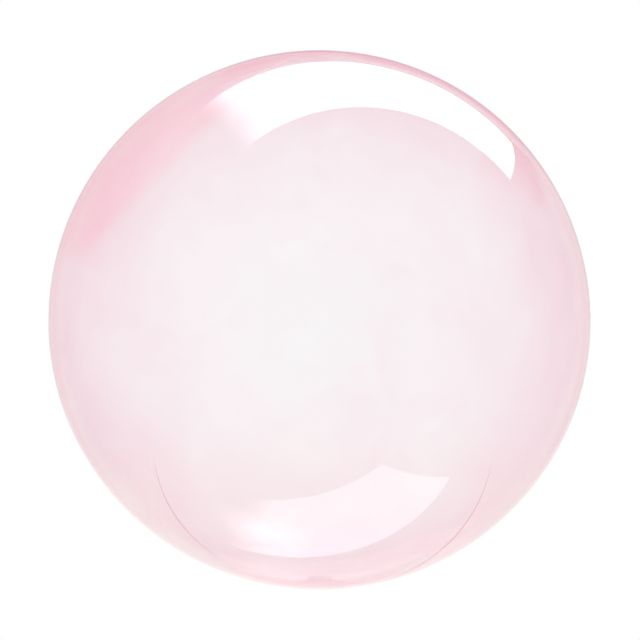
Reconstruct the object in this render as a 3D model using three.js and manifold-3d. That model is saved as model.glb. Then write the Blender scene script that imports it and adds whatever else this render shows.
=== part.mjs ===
// A clear bubble balloon: one sealed film, blown up tight, with its flat filling neck folded under it.
// Millimetres, +Z up. The origin is the centre of the flat spot that the balloon rests on, the front
// faces -Y, and the neck lies along +Y.
import * as THREE from 'three';
import { mergeVertices } from 'three/addons/utils/BufferGeometryUtils.js';
import Module from 'manifold-3d';

// The balloon's body
const WIDTH = 600; // across the widest level
const CROWN_RISE = 300; // from the widest level up to the crown
const BELLY_DROP = 294; // from the widest level down to the surface that the balloon rests on
const REST_RADIUS = 40; // film pressed flat against that surface

// The filling neck, pressed flat: two layers of film with the flat valve between them
const NECK_WIDTH = 28;
const NECK_LENGTH = 62; // from the edge of the rest spot to the sealed end
const NECK_THICKNESS = 1.6;
const NECK_CORNER = 6; // rounding of the sealed end's corners
const THROAT_WIDTH = 64; // where the gathered film spreads from the neck into the belly
const THROAT_LENGTH = 22; // from the edge of the rest spot to where the neck runs straight

// Fineness of the round forms
const SIDES = 72;
const RINGS_PER_HALF = 18;
const CURVE_STEPS = 8;

// Half of the balloon's outline, from the rest spot's centre up to the crown. The belly is a quarter
// of an ellipse cut off by the rest spot, and the upper half is a quarter of another.
function bodyProfile() {
  const radius = WIDTH / 2;
  const restAngle = Math.acos(REST_RADIUS / radius);
  const bellyDepth = BELLY_DROP / Math.sin(restAngle);
  const points = [new THREE.Vector2(0, 0), new THREE.Vector2(REST_RADIUS, 0)];
  for (let ring = 1; ring <= RINGS_PER_HALF; ring++) {
    const angle = restAngle * (1 - ring / RINGS_PER_HALF);
    const height = BELLY_DROP - bellyDepth * Math.sin(angle);
    points.push(new THREE.Vector2(radius * Math.cos(angle), height));
  }
  for (let ring = 1; ring < RINGS_PER_HALF; ring++) {
    const angle = (Math.PI / 2) * (ring / RINGS_PER_HALF);
    const height = BELLY_DROP + CROWN_RISE * Math.sin(angle);
    points.push(new THREE.Vector2(radius * Math.cos(angle), height));
  }
  points.push(new THREE.Vector2(0, BELLY_DROP + CROWN_RISE));
  return points;
}

function bodyGeometry() {
  const geometry = new THREE.LatheGeometry(bodyProfile(), SIDES);
  geometry.rotateX(Math.PI / 2);
  return geometry;
}

// The flat neck seen from above: a throat as wide as the gathers, drawn in to a straight strip
// with two round corners.
function neckGeometry() {
  const halfThroat = THROAT_WIDTH / 2;
  const halfNeck = NECK_WIDTH / 2;
  const straightStart = REST_RADIUS + THROAT_LENGTH;
  const sealedEnd = REST_RADIUS + NECK_LENGTH;
  const shape = new THREE.Shape();
  shape.moveTo(halfThroat, 0);
  shape.bezierCurveTo(halfThroat, REST_RADIUS, halfNeck, REST_RADIUS, halfNeck, straightStart);
  shape.lineTo(halfNeck, sealedEnd - NECK_CORNER);
  shape.quadraticCurveTo(halfNeck, sealedEnd, halfNeck - NECK_CORNER, sealedEnd);
  shape.lineTo(NECK_CORNER - halfNeck, sealedEnd);
  shape.quadraticCurveTo(-halfNeck, sealedEnd, -halfNeck, sealedEnd - NECK_CORNER);
  shape.lineTo(-halfNeck, straightStart);
  shape.bezierCurveTo(-halfNeck, REST_RADIUS, -halfThroat, REST_RADIUS, -halfThroat, 0);
  shape.closePath();
  const settings = { depth: NECK_THICKNESS, bevelEnabled: false, curveSegments: CURVE_STEPS };
  return new THREE.ExtrudeGeometry(shape, settings);
}

// Turns a closed three.js geometry into a solid that can be joined to others
function toSolid(wasm, geometry) {
  const bare = geometry.clone();
  bare.deleteAttribute('normal');
  bare.deleteAttribute('uv');
  const merged = mergeVertices(bare);
  const triangles = [];
  for (let i = 0; i < merged.index.count; i += 3) {
    const corners = [merged.index.getX(i), merged.index.getX(i + 1), merged.index.getX(i + 2)];
    if (new Set(corners).size === corners.length) {
      triangles.push(...corners);
    }
  }
  const mesh = new wasm.Mesh({
    numProp: 3,
    vertProperties: Float32Array.from(merged.attributes.position.array),
    triVerts: Uint32Array.from(triangles),
  });
  return new wasm.Manifold(mesh);
}

function toGeometry(solid) {
  const mesh = solid.getMesh();
  const geometry = new THREE.BufferGeometry();
  geometry.setAttribute('position', new THREE.BufferAttribute(mesh.vertProperties, mesh.numProp));
  geometry.setIndex(new THREE.BufferAttribute(mesh.triVerts, 1));
  geometry.computeVertexNormals();
  return geometry;
}

function filmMaterial() {
  return new THREE.MeshStandardMaterial({
    color: new THREE.Color(0.97, 0.86, 0.9),
    roughness: 0.05,
    metalness: 0,
    transparent: true,
    opacity: 0.35,
  });
}

const wasm = await Module();
wasm.setup();

const film = toSolid(wasm, bodyGeometry()).add(toSolid(wasm, neckGeometry()));
const balloon = new THREE.Mesh(toGeometry(film), filmMaterial());
balloon.name = 'balloon';

const model = new THREE.Group();
model.add(balloon);

export default model;
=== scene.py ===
import math

import bmesh
import bpy
from mathutils import Matrix, Vector


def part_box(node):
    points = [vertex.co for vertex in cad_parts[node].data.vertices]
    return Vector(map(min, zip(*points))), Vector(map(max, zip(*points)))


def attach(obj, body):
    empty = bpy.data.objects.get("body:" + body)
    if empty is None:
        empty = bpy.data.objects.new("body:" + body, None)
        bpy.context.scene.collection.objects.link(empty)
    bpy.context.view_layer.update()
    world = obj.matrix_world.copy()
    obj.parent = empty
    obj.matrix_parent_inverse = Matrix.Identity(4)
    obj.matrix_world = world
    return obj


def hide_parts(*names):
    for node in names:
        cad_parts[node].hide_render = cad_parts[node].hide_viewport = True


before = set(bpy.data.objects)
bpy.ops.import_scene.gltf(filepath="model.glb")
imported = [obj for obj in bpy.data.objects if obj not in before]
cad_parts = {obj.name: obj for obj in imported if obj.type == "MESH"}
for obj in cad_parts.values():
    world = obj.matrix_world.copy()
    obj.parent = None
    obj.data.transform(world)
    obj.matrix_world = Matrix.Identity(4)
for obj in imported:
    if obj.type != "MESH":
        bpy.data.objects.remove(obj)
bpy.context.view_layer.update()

# The ball is one skin of clear, pale pink film, blown up so tight that it is all but a sphere.
# Its own weight presses a small round of it flat where it rests, and makes the belly a touch
# shallower than the crown. The film is far thinner than shown, but just as clear.
ball_low, ball_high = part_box("balloon")
BALL_RADIUS = (ball_high[0] - ball_low[0]) / 2
BALL_HEIGHT = ball_high[2] - ball_low[2]
CROWN_RISE = 0.300
WIDEST_LEVEL = BALL_HEIGHT - CROWN_RISE
REST_RADIUS = 0.040
FILM_THICKNESS = 0.0002
ARC_STEPS = 60
REST_CUTS = 9
ROUND_STEPS = 160

widest_centre = Vector((0, 0, WIDEST_LEVEL))
rest_angle = math.acos(REST_RADIUS / BALL_RADIUS)
belly_depth = WIDEST_LEVEL / math.sin(rest_angle)


def squeeze(mesh):
    """Fits a mesh shaped on a true sphere to the ball, whose belly is a little shallower."""
    for vert in mesh.verts:
        above = vert.co.z - widest_centre.z
        flatten = CROWN_RISE / BALL_RADIUS if above > 0 else belly_depth / BALL_RADIUS
        vert.co.z = widest_centre.z + above * flatten


def into_scene(mesh, name):
    """Makes an object of a finished mesh, with its place in the mesh."""
    data = bpy.data.meshes.new(name)
    mesh.to_mesh(data)
    mesh.free()
    thing = bpy.data.objects.new(name, data)
    bpy.context.collection.objects.link(thing)
    return thing


ball_mesh = bmesh.new()
crown = ball_mesh.verts.new(widest_centre + Vector((0, 0, BALL_RADIUS)))
bmesh.ops.spin(
    ball_mesh,
    geom=[crown],
    cent=widest_centre,
    axis=(0, 1, 0),
    angle=math.pi / 2 + rest_angle,
    steps=ARC_STEPS,
)
squeeze(ball_mesh)
lowest = min(ball_mesh.verts, key=lambda vert: vert.co.z)
lowest.co.z = 0
grown = bmesh.ops.extrude_vert_indiv(ball_mesh, verts=[lowest])
grown["verts"][0].co = (0, 0, 0)
bmesh.ops.subdivide_edges(ball_mesh, edges=grown["edges"], cuts=REST_CUTS)
bmesh.ops.spin(
    ball_mesh,
    geom=ball_mesh.verts[:] + ball_mesh.edges[:],
    cent=(0, 0, 0),
    axis=(0, 0, 1),
    angle=math.tau,
    steps=ROUND_STEPS,
    use_merge=True,
)
bmesh.ops.remove_doubles(ball_mesh, verts=ball_mesh.verts, dist=1e-6)
bmesh.ops.recalc_face_normals(ball_mesh, faces=ball_mesh.faces)
for face in ball_mesh.faces:
    face.smooth = True
bmesh.ops.solidify(ball_mesh, geom=ball_mesh.faces[:], thickness=FILM_THICKNESS)
ball = into_scene(ball_mesh, "ball_film")


def product(tree, first, second):
    """Multiplies an output of a node tree by another one or by a number."""
    node = tree.nodes.new("ShaderNodeMath")
    node.operation = "MULTIPLY"
    tree.links.new(first, node.inputs[0])
    if isinstance(second, float):
        node.inputs[1].default_value = second
    else:
        tree.links.new(second, node.inputs[1])
    return node.outputs["Value"]


# Where the film stretched unevenly it is a little deeper, in soft clouds
film_cloud = bpy.data.node_groups.new("film_cloud", "ShaderNodeTree")
film_cloud.interface.new_socket("Film", in_out="INPUT", socket_type="NodeSocketColor")
film_cloud.interface.new_socket("Depth", in_out="INPUT", socket_type="NodeSocketFloat")
film_cloud.interface.new_socket("Color", in_out="OUTPUT", socket_type="NodeSocketColor")
cloud_in = film_cloud.nodes.new("NodeGroupInput")
cloud_out = film_cloud.nodes.new("NodeGroupOutput")
cloud_place = film_cloud.nodes.new("ShaderNodeTexCoord")
clouds = film_cloud.nodes.new("ShaderNodeTexNoise")
clouds.inputs["Scale"].default_value = 9
clouds.inputs["Detail"].default_value = 3
clouds.inputs["Distortion"].default_value = 0.6
cloud_span = film_cloud.nodes.new("ShaderNodeMapRange")
cloud_span.inputs["From Min"].default_value = 0.35
cloud_span.inputs["From Max"].default_value = 0.65
cloud_mix = film_cloud.nodes.new("ShaderNodeMix")
cloud_mix.data_type = "RGBA"
cloud_mix.blend_type = "MULTIPLY"
cloud_mix.inputs["B"].default_value = (0.97, 0.80, 0.88, 1)
film_cloud.links.new(cloud_place.outputs["Object"], clouds.inputs["Vector"])
film_cloud.links.new(clouds.outputs["Fac"], cloud_span.inputs["Value"])
cloud_amount = product(film_cloud, cloud_span.outputs["Result"], cloud_in.outputs["Depth"])
film_cloud.links.new(cloud_amount, cloud_mix.inputs["Factor"])
film_cloud.links.new(cloud_in.outputs["Film"], cloud_mix.inputs["A"])
film_cloud.links.new(cloud_mix.outputs["Result"], cloud_out.inputs["Color"])


def fill_ramp(ramp, colours):
    """Gives a colour ramp the stops of a table from place to colour, and no others."""
    stops = ramp.color_ramp.elements
    for place, colour in colours.items():
        stops.new(place).color = (*colour, 1)
    stops.remove(stops[0])
    stops.remove(stops[-1])


# The more the film slants away from the eye, the more of it is looked through, and the pinker it is
FILM_TINTS = {
    0.00: (0.966, 0.957, 0.960),
    0.13: (0.979, 0.944, 0.953),
    0.29: (0.950, 0.891, 0.910),
    0.56: (0.932, 0.797, 0.845),
    0.66: (0.907, 0.746, 0.797),
    0.74: (0.892, 0.731, 0.760),
    0.86: (0.850, 0.470, 0.540),
}
clear_film = bpy.data.materials.new("clear_pink_film")
clear_film.use_nodes = True
film_nodes = clear_film.node_tree.nodes
film_links = clear_film.node_tree.links
film_shader = film_nodes["Principled BSDF"]
film_shader.inputs["Transmission Weight"].default_value = 1.0
film_shader.inputs["Roughness"].default_value = 0.0
film_shader.inputs["IOR"].default_value = 1.45
slant = film_nodes.new("ShaderNodeLayerWeight")
slant.inputs["Blend"].default_value = 0.5
tint = film_nodes.new("ShaderNodeValToRGB")
fill_ramp(tint, FILM_TINTS)
film_links.new(slant.outputs["Facing"], tint.inputs["Fac"])

# The film is a deeper pink over the upper left shoulder, and paler round the foot, outside the two
# low creases. Both are told by the direction from the middle of the ball.
SHOULDER_ROLL = math.radians(136)
SHOULDER_WAY = (math.cos(SHOULDER_ROLL), -0.08, math.sin(SHOULDER_ROLL))
CREASED_WAY = (0, -0.739, -0.673)
UP = (0, 0, 1)
DOWN = (0, 0, -1)
FOOT_PALENESS = 0.62
from_middle = film_nodes.new("ShaderNodeVectorMath")
from_middle.operation = "SUBTRACT"
from_middle.inputs[1].default_value = widest_centre
ball_way = film_nodes.new("ShaderNodeVectorMath")
ball_way.operation = "SCALE"
ball_way.inputs["Scale"].default_value = 1 / BALL_RADIUS
film_links.new(film_nodes.new("ShaderNodeTexCoord").outputs["Object"], from_middle.inputs[0])
film_links.new(from_middle.outputs["Vector"], ball_way.inputs[0])


def within_cap(way, edge, well_in):
    """How far a point of the ball lies inside a round cap about a direction, from 0 to 1, or how
    far outside it where the edge is the higher of the two."""
    along = film_nodes.new("ShaderNodeVectorMath")
    along.operation = "DOT_PRODUCT"
    along.inputs[1].default_value = Vector(way).normalized()
    film_links.new(ball_way.outputs["Vector"], along.inputs[0])
    share = film_nodes.new("ShaderNodeMapRange")
    share.interpolation_type = "SMOOTHSTEP"
    share.inputs["From Min"].default_value = edge
    share.inputs["From Max"].default_value = well_in
    film_links.new(along.outputs["Value"], share.inputs["Value"])
    return share.outputs["Result"]


def blended_with(film, share, blend, blend_colour):
    """The film's colour with a share of another one blended into it."""
    mix = film_nodes.new("ShaderNodeMix")
    mix.data_type = "RGBA"
    mix.blend_type = blend
    mix.inputs["B"].default_value = (*blend_colour, 1)
    film_links.new(share, mix.inputs["Factor"])
    film_links.new(film, mix.inputs["A"])
    return mix.outputs["Result"]


on_shoulder = product(
    clear_film.node_tree, within_cap(SHOULDER_WAY, 0.765, 0.83), within_cap(UP, 0.20, 0.32)
)
round_foot = product(
    clear_film.node_tree, within_cap(CREASED_WAY, 0.84, 0.79), within_cap(DOWN, 0.35, 0.75)
)
round_foot = product(clear_film.node_tree, round_foot, FOOT_PALENESS)
film_colour = blended_with(tint.outputs["Color"], on_shoulder, "MULTIPLY", (1.02, 0.945, 0.957))
film_colour = blended_with(film_colour, round_foot, "MIX", (0.98, 0.90, 0.88))

# The clouds show more towards the edge, where the film is seen at a slant
cloud_depth = film_nodes.new("ShaderNodeMapRange")
cloud_depth.inputs["From Min"].default_value = 0.3
cloud_depth.inputs["From Max"].default_value = 0.75
cloud_depth.inputs["To Min"].default_value = 0.2
cloud_depth.inputs["To Max"].default_value = 0.5
cloudy = film_nodes.new("ShaderNodeGroup")
cloudy.node_tree = film_cloud
film_links.new(slant.outputs["Facing"], cloud_depth.inputs["Value"])
film_links.new(cloud_depth.outputs["Result"], cloudy.inputs["Depth"])
film_links.new(film_colour, cloudy.inputs["Film"])
film_links.new(cloudy.outputs["Color"], film_shader.inputs["Base Color"])
ball.data.materials.append(clear_film)

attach(ball, "root")
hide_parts("balloon")

# The neck is the same film, drawn in to a flat strip and sealed across its end. Air goes in through
# the flat valve between its two layers. It lies folded back under the belly, with fine gathers.
NECK_HALF_WIDTH = 0.014
NECK_LENGTH = 0.062
NECK_THICKNESS = 0.0016
NECK_CORNER = 0.006
NECK_START = REST_RADIUS + 0.0025
NECK_END = REST_RADIUS + NECK_LENGTH
THROAT_HALF_WIDTH = 0.030
THROAT_END = REST_RADIUS + 0.022
VALVE_SHARE = 0.5
VALVE_RISE = 0.0003
SEAL_LENGTH = 0.009
GATHERS = 7
GATHER_DEPTH = 0.00035
GATHER_LENGTH = 0.045
LAYER_THICKNESS = 0.0007
CLEARANCE = 0.0001
NECK_COLUMNS = 56
NECK_ROWS = 72


def film_level(along, across):
    """Height of the belly's film over a point of the floor."""
    out_from_axis = max(REST_RADIUS, math.hypot(along, across))
    return WIDEST_LEVEL - belly_depth * math.sin(math.acos(out_from_axis / BALL_RADIUS))


neck_mesh = bmesh.new()
bmesh.ops.create_grid(neck_mesh, x_segments=NECK_COLUMNS, y_segments=NECK_ROWS, size=1)
for vert in neck_mesh.verts:
    across, along = vert.co.x, (vert.co.y + 1) / 2
    along = NECK_START + along * (NECK_END - NECK_START)
    drawn_in = min(1, (along - NECK_START) / (THROAT_END - NECK_START))
    drawn_in = drawn_in * drawn_in * (3 - 2 * drawn_in)
    half_width = THROAT_HALF_WIDTH + drawn_in * (NECK_HALF_WIDTH - THROAT_HALF_WIDTH)
    corner = max(0, along - (NECK_END - NECK_CORNER))
    half_width -= NECK_CORNER - math.sqrt(max(0, NECK_CORNER**2 - corner**2))
    fade = math.sin(math.pi * min(1, (along - NECK_START) / GATHER_LENGTH)) ** 2
    ripple = GATHER_DEPTH * fade * math.cos(math.pi * GATHERS * across)
    over_valve = abs(across) < VALVE_SHARE and along < NECK_END - SEAL_LENGTH
    raised = VALVE_RISE if over_valve else 0
    vert.co = (across * half_width, along, NECK_THICKNESS / 2 + ripple + raised)
bmesh.ops.recalc_face_normals(neck_mesh, faces=neck_mesh.faces)
for face in neck_mesh.faces:
    face.smooth = True
bmesh.ops.solidify(neck_mesh, geom=neck_mesh.faces[:], thickness=LAYER_THICKNESS)
for vert in neck_mesh.verts:
    ceiling = min(NECK_THICKNESS, film_level(vert.co.y, vert.co.x) - CLEARANCE)
    vert.co.z = max(CLEARANCE, min(vert.co.z, ceiling))
neck = into_scene(neck_mesh, "filling_neck")

# Folded film is a deeper pink, and no longer quite clear
creased_film = bpy.data.materials.new("creased_pink_film")
creased_film.use_nodes = True
creased_nodes = creased_film.node_tree.nodes
creased_shader = creased_nodes["Principled BSDF"]
creased_shader.inputs["Transmission Weight"].default_value = 1.0
creased_shader.inputs["Roughness"].default_value = 0.25
creased_shader.inputs["IOR"].default_value = 1.15
creased_cloud = creased_nodes.new("ShaderNodeGroup")
creased_cloud.node_tree = film_cloud
creased_cloud.inputs["Film"].default_value = (0.97, 0.79, 0.85, 1)
creased_cloud.inputs["Depth"].default_value = 0.6
creased_film.node_tree.links.new(creased_cloud.outputs["Color"], creased_shader.inputs["Base Color"])
neck.data.materials.append(creased_film)

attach(neck, "root")
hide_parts("balloon")

# Fine creases stay in the film where it was folded flat before it was blown up. Two of them run
# round the lower front, and one crosses the crown.
CREASE_RADIUS = 0.0005
CREASE_SIDES = 8
CREASE_STEPS = 48
CREASE_TIP_SHARE = 0.05
CREASES = {
    # name: (middle of its circle, its start, both in ball radii, how far it runs in degrees)
    "left_crease": ((0.119, -0.590, -0.382), (-0.572, -0.675, -0.466), 46),
    "right_crease": ((-0.194, -0.396, -0.226), (0.602, -0.645, -0.471), -52),
    "crown_crease": ((-0.315, 0.177, 0.216), (-0.238, -0.465, 0.853), 17),
}


def crease(name, centre, start, sweep):
    """A fine round welt along part of a circle that lies on the ball, slim at both ends."""
    centre, start = Vector(centre), Vector(start)
    axis = centre.normalized()
    first = (start - centre).normalized()
    second = axis.cross(first)
    sweep = math.radians(sweep)
    mesh = bmesh.new()
    bmesh.ops.create_circle(mesh, segments=CREASE_SIDES, radius=CREASE_RADIUS)
    facing = Matrix((first, axis, second)).transposed().to_4x4()
    place = Matrix.Translation(widest_centre + BALL_RADIUS * start)
    bmesh.ops.transform(mesh, matrix=place @ facing, verts=mesh.verts)
    bmesh.ops.spin(
        mesh,
        geom=mesh.verts[:] + mesh.edges[:],
        cent=widest_centre + BALL_RADIUS * centre,
        axis=axis,
        angle=sweep,
        steps=CREASE_STEPS,
    )
    for vert in mesh.verts:
        spoke = vert.co - widest_centre - BALL_RADIUS * centre
        share = math.atan2(spoke.dot(second), spoke.dot(first)) / sweep
        flat = spoke - axis * spoke.dot(axis)
        middle = widest_centre + BALL_RADIUS * (centre + (start - centre).length * flat.normalized())
        slim = max(CREASE_TIP_SHARE, math.sin(math.pi * max(0, min(1, share))))
        vert.co = middle + slim * (vert.co - middle)
    squeeze(mesh)
    bmesh.ops.holes_fill(mesh, edges=mesh.edges)
    bmesh.ops.recalc_face_normals(mesh, faces=mesh.faces)
    piece = into_scene(mesh, name)
    piece.data.materials.append(creased_film)
    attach(piece, "root")
    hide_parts("balloon")


for crease_name, (crease_centre, crease_start, crease_sweep) in CREASES.items():
    crease(crease_name, crease_centre, crease_start, crease_sweep)

# The balloon rests on a wide white floor, lit so evenly that neither a shadow nor an edge shows
FLOOR_HALF_WIDTH = 6
FLOOR_DROP = 0.0005
floor_mesh = bmesh.new()
bmesh.ops.create_grid(floor_mesh, x_segments=1, y_segments=1, size=FLOOR_HALF_WIDTH)
studio_floor = into_scene(floor_mesh, "studio_floor")
studio_floor.location.z = -FLOOR_DROP
floor_finish = bpy.data.materials.new("white_floor")
floor_finish.use_nodes = True
floor_shader = floor_finish.node_tree.nodes["Principled BSDF"]
floor_shader.inputs["Base Color"].default_value = (0, 0, 0, 1)
floor_shader.inputs["Specular IOR Level"].default_value = 0
floor_shader.inputs["Roughness"].default_value = 1
floor_shader.inputs["Emission Color"].default_value = (1, 1, 1, 1)
floor_shader.inputs["Emission Strength"].default_value = 1
studio_floor.data.materials.append(floor_finish)

# The studio is white all round
room = bpy.data.worlds.new("bright_room")
bpy.context.scene.world = room
room.use_nodes = True
room.node_tree.nodes["Background"].inputs["Color"].default_value = (1.0, 1.0, 1.0, 1)

# Softboxes and coloured gels stand round the balloon, and show only where its film mirrors them.
# Light that the near film mirrors crosses at most two faces of film, and the far film's crosses more.
ROUND_CARD_SIDES = 96
NEAR_FILM_CROSSINGS = 2.5


def studio_card(name, centre, half_width, half_height, fades, colours, film, leans=(0.0, 0.0),
                strength=None, is_round=False):
    """A softbox's glowing face, or without a strength a coloured gel that light falls through. On it
    x and y run from -1 to 1. fades gives where its left, right, near and far sides are gone and
    where they are full, and leans slant the left and right ones. colours gives its colour by y. film
    is the side of the balloon that mirrors it: near, or far and seen through. A card is an oblong,
    or a disc where is_round says so."""
    mesh = bmesh.new()
    if is_round:
        bmesh.ops.create_circle(mesh, cap_ends=True, segments=ROUND_CARD_SIDES, radius=1)
    else:
        bmesh.ops.create_grid(mesh, x_segments=1, y_segments=1, size=1)
    card = into_scene(mesh, name)
    facing = half_width.cross(half_height).normalized()
    card.matrix_world = Matrix((
        (half_width.x, half_height.x, facing.x, centre.x),
        (half_width.y, half_height.y, facing.y, centre.y),
        (half_width.z, half_height.z, facing.z, centre.z),
        (0, 0, 0, 1),
    ))
    card.visible_camera = False
    card.visible_shadow = False
    card.visible_diffuse = False

    finish = bpy.data.materials.new(name)
    finish.use_nodes = True
    tree = finish.node_tree
    tree.nodes.clear()
    place = tree.nodes.new("ShaderNodeSeparateXYZ")
    tree.links.new(tree.nodes.new("ShaderNodeTexCoord").outputs["Object"], place.inputs[0])
    sides = []
    for lean in leans:
        slanted = tree.nodes.new("ShaderNodeMath")
        slanted.operation = "MULTIPLY_ADD"
        slanted.inputs[1].default_value = -lean
        tree.links.new(place.outputs["Y"], slanted.inputs[0])
        tree.links.new(place.outputs["X"], slanted.inputs[2])
        sides.append(slanted.outputs[0])
    sides += [place.outputs["Y"], place.outputs["Y"]]
    path = tree.nodes.new("ShaderNodeLightPath")
    mirrored = tree.nodes.new("ShaderNodeMath")
    mirrored.operation = "LESS_THAN" if film == "near" else "GREATER_THAN"
    mirrored.inputs[1].default_value = NEAR_FILM_CROSSINGS
    tree.links.new(path.outputs["Transmission Depth"], mirrored.inputs[0])
    cover = mirrored.outputs[0]
    for position, (gone, full) in zip(sides, fades):
        edge = tree.nodes.new("ShaderNodeMapRange")
        edge.interpolation_type = "SMOOTHSTEP"
        edge.inputs["From Min"].default_value = gone
        edge.inputs["From Max"].default_value = full
        tree.links.new(position, edge.inputs["Value"])
        cover = product(tree, cover, edge.outputs["Result"])
    height = tree.nodes.new("ShaderNodeMapRange")
    height.inputs["From Min"].default_value = -1
    tree.links.new(place.outputs["Y"], height.inputs["Value"])
    ramp = tree.nodes.new("ShaderNodeValToRGB")
    fill_ramp(ramp, {(level + 1) / 2: colour for level, colour in colours.items()})
    tree.links.new(height.outputs["Result"], ramp.inputs["Fac"])
    if strength is None:
        face = tree.nodes.new("ShaderNodeBsdfTransparent")
    else:
        face = tree.nodes.new("ShaderNodeEmission")
        face.inputs["Strength"].default_value = strength
    tree.links.new(ramp.outputs["Color"], face.inputs["Color"])
    clear = tree.nodes.new("ShaderNodeBsdfTransparent")
    blend = tree.nodes.new("ShaderNodeMixShader")
    tree.links.new(cover, blend.inputs["Fac"])
    tree.links.new(clear.outputs["BSDF"], blend.inputs[1])
    tree.links.new(face.outputs[0], blend.inputs[2])
    out = tree.nodes.new("ShaderNodeOutputMaterial")
    tree.links.new(blend.outputs["Shader"], out.inputs["Surface"])
    card.data.materials.append(finish)


# A long softbox hangs high over the balloon, turned and tipped a little. The near film mirrors it
# as the white patch below the crown, and the far film as the faint one above the belly. Seen in the
# far film it is brightest near one end. Its sizes are in ball radii.
BOX_HEIGHT = 6.913
BOX_TILT = math.radians(-12.9)
BOX_ROLL = math.radians(5.2)
BOX_TURN = math.radians(28.2)
WHITE = {-0.9: (1, 1, 1), 0.9: (1, 1, 1)}
SHARP_LOW = (-1.0, -0.99)
SHARP_HIGH = (1.0, 0.99)
box_turned = Matrix.Rotation(BOX_TILT, 3, "X") @ Matrix.Rotation(BOX_ROLL, 3, "Y")
box_turned = box_turned @ Matrix.Rotation(BOX_TURN, 3, "Z")
box_centre = widest_centre + BALL_RADIUS * Vector((0, 0, BOX_HEIGHT))


def box_way(along, across, below=0.0):
    """A way on the softbox, in ball radii along its length, across it and below its face."""
    return BALL_RADIUS * (box_turned @ Vector((along, across, -below)))


studio_card(
    "softbox_near",
    centre=box_centre + box_way(1.86, 2.92),
    half_width=box_way(6.46, 0),
    half_height=box_way(0, 2.86),
    fades=((-0.71, -0.36), SHARP_HIGH, SHARP_LOW, (0.72, 0.62)),
    leans=(0.214, 0.0),
    colours=WHITE,
    film="near",
    strength=6.0,
)
studio_card(
    "softbox_far",
    centre=box_centre + box_way(0.967, 2.56),
    half_width=box_way(4.633, 0),
    half_height=box_way(0, 2.50),
    fades=(SHARP_LOW, (0.70, 0.40), SHARP_LOW, SHARP_HIGH),
    leans=(0.0, 0.27),
    colours={-0.9: (0.95, 1.0, 1.02), 0.9: (0.95, 1.0, 1.02)},
    film="far",
    strength=3.0,
)
studio_card(
    "softbox_glow",
    centre=box_centre + box_way(2.9, 2.6, below=0.05),
    half_width=box_way(1.8, 0),
    half_height=box_way(0, 1.9),
    fades=((-1.0, 0.1), (1.0, 0.0), (-1.0, 0.0), (1.0, 0.0)),
    colours=WHITE,
    film="far",
    strength=4.2,
)

# A pink gel stands beside the balloon's left shoulder, and another hangs behind its crown. With the
# shoulder's deeper film they make the deep pink crescent.
SHOULDER_GEL_ROLL = math.radians(140)
outward = Vector((math.cos(SHOULDER_GEL_ROLL), 0, math.sin(SHOULDER_GEL_ROLL)))
tangent = Vector((-math.sin(SHOULDER_GEL_ROLL), 0, math.cos(SHOULDER_GEL_ROLL)))
rightward = Vector((1, 0, 0))
backward = Vector((0, 1, 0))
upward = Vector((0, 0, 1))
studio_card(
    "pink_card",
    centre=widest_centre + BALL_RADIUS * (1.25 * outward - 0.01 * tangent + 0.38 * backward),
    half_width=0.71 * BALL_RADIUS * tangent,
    half_height=1.10 * BALL_RADIUS * backward,
    fades=((-0.95, -0.70), (0.98, 0.76), (-0.86, -0.6), (1.0, 0.5)),
    colours={
        -0.62: (1.0, 0.72, 0.79),
        -0.30: (1.0, 0.84, 0.88),
        0.0: (1.0, 0.92, 0.95),
        0.9: (1.0, 0.97, 0.98),
    },
    film="near",
)
studio_card(
    "pink_top_card",
    centre=widest_centre + BALL_RADIUS * Vector((-0.325, 1.675, 1.5)),
    half_width=0.475 * BALL_RADIUS * rightward,
    half_height=1.375 * BALL_RADIUS * backward,
    fades=((-1.0, -0.35), (1.0, 0.6), (-1.0, -0.95), (1.0, 0.7)),
    colours={-0.9: (0.99, 0.78, 0.84), -0.3: (0.98, 0.84, 0.89), 0.9: (1.0, 0.92, 0.95)},
    film="near",
)

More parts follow.
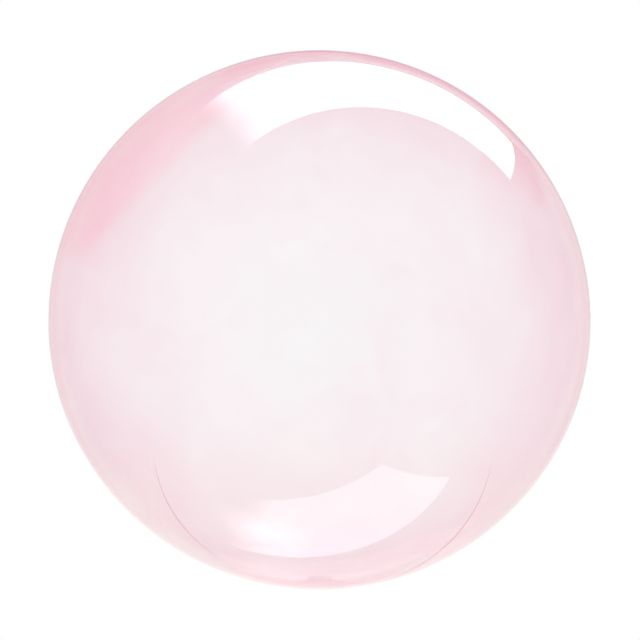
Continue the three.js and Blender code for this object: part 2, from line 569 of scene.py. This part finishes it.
# Two more pink gels on the right deepen the film beside the white patch, and the rim above it
RIGHT_GEL_TILT = math.radians(15)
right_along = Vector((0, math.cos(RIGHT_GEL_TILT), math.sin(RIGHT_GEL_TILT)))
right_across = Vector((0, -math.sin(RIGHT_GEL_TILT), math.cos(RIGHT_GEL_TILT)))
studio_card(
    "pink_right_card",
    centre=widest_centre + BALL_RADIUS * Vector((2.2, 1.07, 1.92)),
    half_width=1.94 * BALL_RADIUS * right_along,
    half_height=0.98 * BALL_RADIUS * right_across,
    fades=((-1.0, -0.2), (1.0, 0.80), (-0.95, -0.58), (0.64, 0.41)),
    colours={-0.9: (1.0, 0.79, 0.83), 0.0: (1.0, 0.57, 0.62)},
    film="near",
)
RIM_GEL_ROLL = math.radians(54)
rim_out = Vector((math.cos(RIM_GEL_ROLL), 0, math.sin(RIM_GEL_ROLL)))
rim_down = Vector((math.sin(RIM_GEL_ROLL), 0, -math.cos(RIM_GEL_ROLL)))
studio_card(
    "pink_rim_card",
    centre=widest_centre + BALL_RADIUS * (1.9 * rim_out + 3.0 * backward),
    half_width=1.6 * BALL_RADIUS * rim_down,
    half_height=0.95 * BALL_RADIUS * rim_out,
    fades=((-1.0, -0.6), (0.62, 0.12), (-1.0, -0.9), (1.0, 0.3)),
    colours={-0.9: (0.96, 0.84, 0.88), -0.3: (0.98, 0.76, 0.82), 0.9: (0.98, 0.72, 0.78)},
    film="near",
)

# A round grey-pink gel far behind the balloon is mirrored only at the very rim, as a thin darker line
EDGE_GEL_RADIUS = 3.2
studio_card(
    "edge_card",
    centre=widest_centre + 6.0 * BALL_RADIUS * backward,
    half_width=EDGE_GEL_RADIUS * BALL_RADIUS * rightward,
    half_height=EDGE_GEL_RADIUS * BALL_RADIUS * upward,
    fades=(SHARP_LOW, SHARP_HIGH, SHARP_LOW, SHARP_HIGH),
    colours={-0.4: (0.92, 0.92, 0.93), 0.3: (0.83, 0.83, 0.855)},
    film="near",
    is_round=True,
)

# The camera is level with the balloon's middle, a long way off. Near the rim light passes the film
# over and over, which takes many bounces.
CAMERA_DISTANCE = 3.0
FRAME_WIDTH = 0.7113
SENSOR_WIDTH = 36
AIM = Vector((0.0006, 0, 0.2955))
LIGHT_BOUNCES = 40
camera_data = bpy.data.cameras.new("camera")
camera_data.sensor_width = SENSOR_WIDTH
camera_data.lens = SENSOR_WIDTH * CAMERA_DISTANCE / FRAME_WIDTH
camera = bpy.data.objects.new("camera", camera_data)
camera.location = AIM - Vector((0, CAMERA_DISTANCE, 0))
camera.rotation_euler = (math.pi / 2, 0, 0)
bpy.context.collection.objects.link(camera)
bpy.context.scene.camera = camera
bpy.context.scene.view_settings.view_transform = "Standard"
bpy.context.scene.cycles.max_bounces = LIGHT_BOUNCES
bpy.context.scene.cycles.transmission_bounces = LIGHT_BOUNCES
bpy.context.scene.cycles.glossy_bounces = LIGHT_BOUNCES
